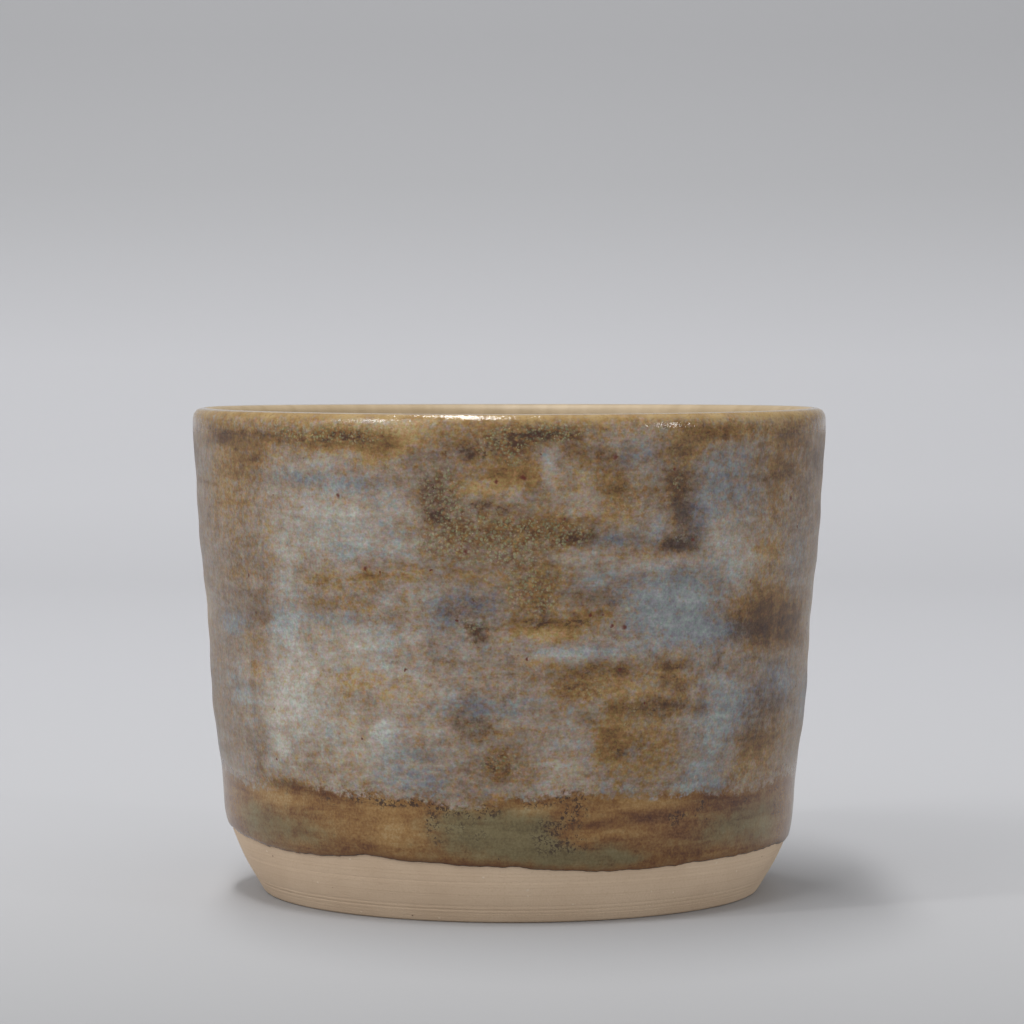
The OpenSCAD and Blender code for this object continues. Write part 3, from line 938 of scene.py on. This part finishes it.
    ("burnt", -3, 41.2, 7, 0.5, 0.8),
    ("burnt", 11.5, 38.1, 3.5, 0.7, 1.0),
    ("burnt", 3, 38.5, 6, 1.8, 0.35),
    ("burnt", 31, 42.3, 3.4, 2.6, 0.5),
    ("burnt", 30.5, 37.3, 4.5, 0.7, 1.0),
    ("burnt", 31.5, 39.5, 2.5, 1.2, 0.6),
    ("burnt", -5.6, 28.6, 2.5, 1.0, 0.95),
    ("burnt", 7, 29.8, 7, 0.5, 0.9),
    ("burnt", 6, 31.3, 1.0, 1.5, 0.8),
    ("burnt", 11.5, 29.9, 3, 0.4, 0.5),
    ("burnt", 16, 25.0, 6, 0.7, 0.7),
    ("burnt", 11.5, 23.4, 4, 0.7, 0.6),
    ("burnt", -3, 15.9, 3, 1.2, 1.0),
    ("burnt", 1.5, 13.8, 2, 0.7, 0.6),
    ("burnt", -7.5, 20.5, 3, 1.2, 0.4),
    ("burnt", 27, 21.4, 7, 0.7, 0.7),
    ("burnt", 31, 24.5, 4, 1.4, 0.5),
    ("burnt", 20.8, 17.0, 1.6, 0.7, 0.9),
    ("burnt", -28, 47.6, 9, 0.9, 0.8),
    ("burnt", 38, 48.2, 5, 0.6, 0.5),
    ("burnt", 56, 28.8, 8, 1.2, 0.15),
    ("burnt", 52, 18.5, 4, 2.0, 0.2),
]
# The sides and the back go on in the same hand: kind, how often it comes, where 1 is always, and the
# least and most of its half width, half height and amount
back_strokes = [
    ("laid", 1, (4, 11), (1.2, 5), (-0.5, 0.5)),
    ("blue", 0.45, (5, 11), (2, 5), (0.3, 0.8)),
    ("ochre", 0.35, (6, 12), (1, 4), (0.4, 0.9)),
    ("crystal", 0.22, (6, 12), (2, 5), (0.5, 1.0)),
    ("burnt", 0.25, (3, 8), (0.6, 1.6), (0.5, 1.0)),
]
back_angles = range(82, 278, 9)
back_heights = (16, 23, 30, 37, 44)
brush_hand = random.Random(11)
for turn_a in back_angles:
    for turn_z in back_heights:
        for kind, share, *ranges in back_strokes:
            if share == 1 or brush_hand.random() < share:
                place = (turn_a + brush_hand.uniform(-5, 5), turn_z + brush_hand.uniform(-3, 3))
                brush_marks.append((kind, *place, *[brush_hand.uniform(*span) for span in ranges]))

# Iron spots in the coat: angle from the front, height, radius
iron_spots = [
    (2.5, 43.9, 0.36), (-2.2, 43.6, 0.24), (18, 45.9, 0.34), (14.3, 30.6, 0.26), (16.6, 30.6, 0.18),
    (18.5, 29.5, 0.18), (20.7, 29.4, 0.3), (20, 25.2, 0.26), (3.2, 26.4, 0.2), (-18.7, 25.2, 0.2),
    (-25.6, 35.0, 0.3), (-30.5, 42.0, 0.28), (-22.6, 34.7, 0.18), (-7.4, 36.8, 0.26), (-27.6, 18.3, 0.2),
    (33.5, 37.7, 0.2), (60, 41.3, 0.4),
]


def iron_spot(here, angle, z, radius):
    """1 inside one spot on the outside of the wall, 0 beyond it."""
    r = outer_r(z) + base_t + brushed_t
    centre = (r * math.sin(math.radians(angle)) * mm, -r * math.cos(math.radians(angle)) * mm, z * mm)
    far = here.node("ShaderNodeVectorMath", {"operation": "DISTANCE"}, {0: here, 1: centre}, out="Value")
    return 1 - far.ease(radius * 0.3 * mm, radius * 1.2 * mm)


brushed_finish, shader, here = new_finish("brushed_rutile_glaze")
height = axes_of(here).also(2)
streak = cloud(here, 1.2, 4, 0.58, stretch=(6, 6, 1), bend=0.6)
hair = cloud(here, 0.3, 2, 0.6, stretch=(7, 7, 1), shift=0.5)
mottle = cloud(here, 1.6, 4, 0.62, bend=0.4)
curd = cloud(here, 0.42, 3, 0.6, stretch=(1.4, 1.4, 1), shift=0.7)
fine = cloud(here, 0.22, 2, 0.6)
hue = cloud(here, 0.8, 3, 0.6, shift=0.21)
fleck = cloud(here, 0.5, 2, 0.5, shift=0.43)
moss = cloud(here, 0.36, 3, 0.65, shift=0.83)
grain = here.node("ShaderNodeTexVoronoi", None,
                  {"Vector": swirled(here, 0.4, 0.4), "Scale": 1 / (0.29 * mm)})
lot = here.node("ShaderNodeSeparateColor", None, {0: grain.also("Color")})
dot = 1 - (grain + (fine - 0.5) * 0.6 + (curd - 0.5) * 0.4).ease(0.22, 0.58)
rim = (height + (mottle - 0.5) * (3 * mm)).ease(46.2 * mm, 48.8 * mm)
crystal = mark(here, "crystal") + (mottle - 0.5) * 1.6 + (streak - 0.5) * 0.8 - 0.1
crystal = crystal.ease(0.1, 0.9)
thick = (0.5 + mark(here, "laid") * 0.5 + (streak - 0.5) * 0.4 + (hair - 0.5) * 0.1 + (mottle - 0.5) * 0.6
         + (curd - 0.5) * 0.45 + (fine - 0.5) * 0.36 + (lot - 0.5) * dot * (crystal * 0.3 + 0.12)
         - rim * 0.01)
warmth = (mark(here, "blue") * 0.72 - mark(here, "ochre") * 0.7 + (thick - 0.5) * 0.7
          + (streak - 0.5) * 0.4 + (hue - 0.5) * (1.7 - thick * 0.9) + (fleck - 0.5) * 2.0
          + (lot.also(1) - 0.5) * dot * 0.6 - rim * 0.42)
ochre = ramp(thick, [(0.0, (50, 27, 12)), (0.2, (86, 58, 27)), (0.4, (122, 91, 48)),
                     (0.6, (149, 121, 76)), (0.8, (167, 145, 105)), (1.0, (186, 170, 138))])
tan = ramp(thick, [(0.0, (54, 40, 32)), (0.2, (84, 67, 54)), (0.4, (114, 97, 82)),
                   (0.6, (138, 122, 107)), (0.8, (158, 147, 134)), (1.0, (180, 174, 164))])
milk = ramp(thick, [(0.0, (48, 43, 50)), (0.2, (76, 73, 82)), (0.4, (100, 101, 107)),
                    (0.6, (121, 126, 127)), (0.8, (146, 150, 147)), (1.0, (175, 178, 170))])
coat = tint(tint(ochre, tan, warmth.ease(-0.8, 0.1)), milk, warmth.ease(0.0, 0.9))
coat = tint(coat, srgb(78, 44, 25), crystal * (1 - dot) * (1 - curd).ease(0.35, 0.65) * 0.6)
grains = crystal * dot * lot.also(1).ease(0.05, 0.3)
coat = tint(coat, tint(srgb(103, 100, 72), srgb(130, 125, 95), lot), grains * 0.85)
burnt = (1 - curd + mark(here, "burnt") * 0.26 + crystal * 0.05).ease(0.72, 0.9)
coat = tint(coat, srgb(54, 30, 19), burnt * 0.7)
coat = tint(coat, srgb(172, 168, 130), specks(here, 0.55, 0.08, 0.25, shift=0.3) * crystal * 0.6)
pale_dots = specks(swirled(here, 0.3, 0.3), 0.5, 0.1, 0.3, shift=0.8)
coat = tint(coat, srgb(178, 173, 162), pale_dots * thick.ease(0.5, 0.8) * 0.45)
cast = tint((1.1, 0.92, 1.05, 1.0), (0.9, 1.08, 0.94, 1.0), moss.ease(0.25, 0.75))
coat = here.node("ShaderNodeMix", {"data_type": "RGBA", "blend_type": "MULTIPLY"},
                 {0: 1.0, 6: coat, 7: cast}, out=2)
ragged = swirled(here, 0.5, 0.55)
spots = specks(ragged, 2.6, 0.2, 0.2)
for angle, z, radius in iron_spots:
    spots = spots.math("MAXIMUM", iron_spot(ragged, angle, z, radius))
coat = tint(coat, srgb(84, 26, 12), spots * 0.92)
line = mark(here, "above_line")
broken = line - 0.4 + (mottle - 0.5) * 3.2 + (curd - 0.5) * 1.8 + (fine - 0.5) * 1.2
coat = tint(iron_glaze(here), coat, broken.ease(-0.2, 0.8) * line.ease(0.05, 0.5))
coat = lip_break(here, coat)
gloss = height.ease(47.2 * mm, 48.8 * mm)
rough = mottle * 0.16 + 0.14 + line.ease(0.2, 4.0) * 0.16 - gloss * 0.29
pebble = cloud(here, 0.4, 2, 0.5, shift=0.11) * gloss * 0.75
shader.inputs["Specular IOR Level"].default_value = 0.42
relief = mottle * 0.4 + curd * 0.3 + fine * 0.2 + dot * crystal * 0.15 - spots * 0.3 + pebble
set_finish(shader, coat, rough, relief, 0.05)

brush_path = [(outer_r(z) + base_t, z) for z in steps(brush_start, lip_z, 0.25)]
brush_path += lip_arc(lip_r + base_t, 0, feather_a, 5)[1:]
brush_tree = coating_tree("brushed_coat", wave_line(brush_waves, brush_lifts), brush_nibs)
brushed_glaze = shaped_piece("brushed_glaze_coat", brush_path, brush_tree, {
    "Thickness": brushed_t * mm, "Line Height": (brush_h - brush_start) * mm, "Edge Roll": brush_out * mm,
    "Soft Edge": 1.0, "Feather": 0.95, "Relief": brush_relief * mm, "Rows Out": 120, "Rows In": 20,
    "Segments": 560, "Material": brushed_finish})
lay_marks(brushed_glaze, brush_marks + dip_marks)
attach(brushed_glaze, "root")
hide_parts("brushed_glaze")

# The table, backdrop and light: one sheet of pale grey board that curves up behind the cup, lit by a
# window and the room at the left, a long pane overhead and a slim window at the right, with a fill from
# all round. None of it is part of the cup. Distances from here on are in metres.
sweep_front = -0.9
bend_start = 0.5
bend_r = 0.4
sweep_top = 1.2
sweep_half_w = 1.4
rise = [(sweep_front, 0.0), (bend_start, 0.0)]
for bend_a in range(10, 91, 10):
    lean = math.radians(bend_a)
    rise.append((bend_start + bend_r * math.sin(lean), bend_r - bend_r * math.cos(lean)))
rise.append((bend_start + bend_r, sweep_top))
sweep = bpy.data.meshes.new("pale_sweep")
sweep.from_pydata([(x, y, z) for y, z in rise for x in (-sweep_half_w, sweep_half_w)], [],
                  [(2 * i, 2 * i + 1, 2 * i + 3, 2 * i + 2) for i in range(len(rise) - 1)])
for face in sweep.polygons:
    face.use_smooth = True
table = bpy.data.objects.new("pale_sweep", sweep)
bpy.context.collection.objects.link(table)
board, shader, here = new_finish("pale_grey_board")
axes = axes_of(here)
# The board's colour ramp is painted light and shade: a darker band across the floor in front of the cup,
# lighter up through the bend, and darker again towards the top of the backdrop.
fade = ramp((axes.also(1) + axes.also(2) * 1.2) * 0.8 + 0.2, [
    (0.0, (158, 158, 160)), (0.11, (132, 132, 133)), (0.2, (158, 158, 160)), (0.4, (165, 165, 168)),
    (0.6, (171, 171, 174)), (0.7, (175, 175, 178)), (0.81, (172, 172, 175)), (0.92, (153, 153, 155)),
    (1.0, (146, 146, 148))])
board.node_tree.links.new(fade.socket, shader.inputs["Base Color"])
shader.inputs["Roughness"].default_value = 0.7
sweep.materials.append(board)

world = bpy.data.worlds.new("soft_room")
world.use_nodes = True
fill = world.node_tree.nodes["Background"]
fill.inputs["Color"].default_value = (0.98, 0.99, 1.0, 1.0)
fill.inputs["Strength"].default_value = 0.78
bpy.context.scene.world = world
light_aim = Vector((0, 0, 0.03))


def soft_light(name, place, size, power):
    lamp = bpy.data.lights.new(name, "AREA")
    lamp.shape = "RECTANGLE"
    lamp.size, lamp.size_y = size
    lamp.energy = power
    light = bpy.data.objects.new(name, lamp)
    light.location = place
    light.rotation_euler = (light_aim - Vector(place)).to_track_quat("-Z", "Y").to_euler()
    bpy.context.collection.objects.link(light)


soft_light("window_left", (-0.78, -0.5, 0.8), (0.07, 0.4), 2.6)
soft_light("room_left", (-0.7, -0.6, 0.75), (0.8, 0.8), 2.8)
soft_light("roof_pane", (-0.11, 0.0, 0.95), (1.0, 0.1), 7.8)
soft_light("window_right", (0.85, -0.54, 0.27), (0.055, 0.32), 1.25)

# The camera: the photograph's long lens, low over the table and a little higher than the lip, with
# the cup a touch left of centre.
camera_tilt = 2.536
camera_pan = -0.0476
lens = bpy.data.cameras.new("long_lens")
lens.lens = 131.06
lens.sensor_width = 36.0
camera = bpy.data.objects.new("long_lens", lens)
camera.location = (0.0, -0.3892, 0.05645)
camera.rotation_euler = (math.radians(90 - camera_tilt), 0.0, math.radians(camera_pan))
bpy.context.collection.objects.link(camera)
bpy.context.scene.camera = camera
bpy.context.scene.view_settings.view_transform = "Standard"
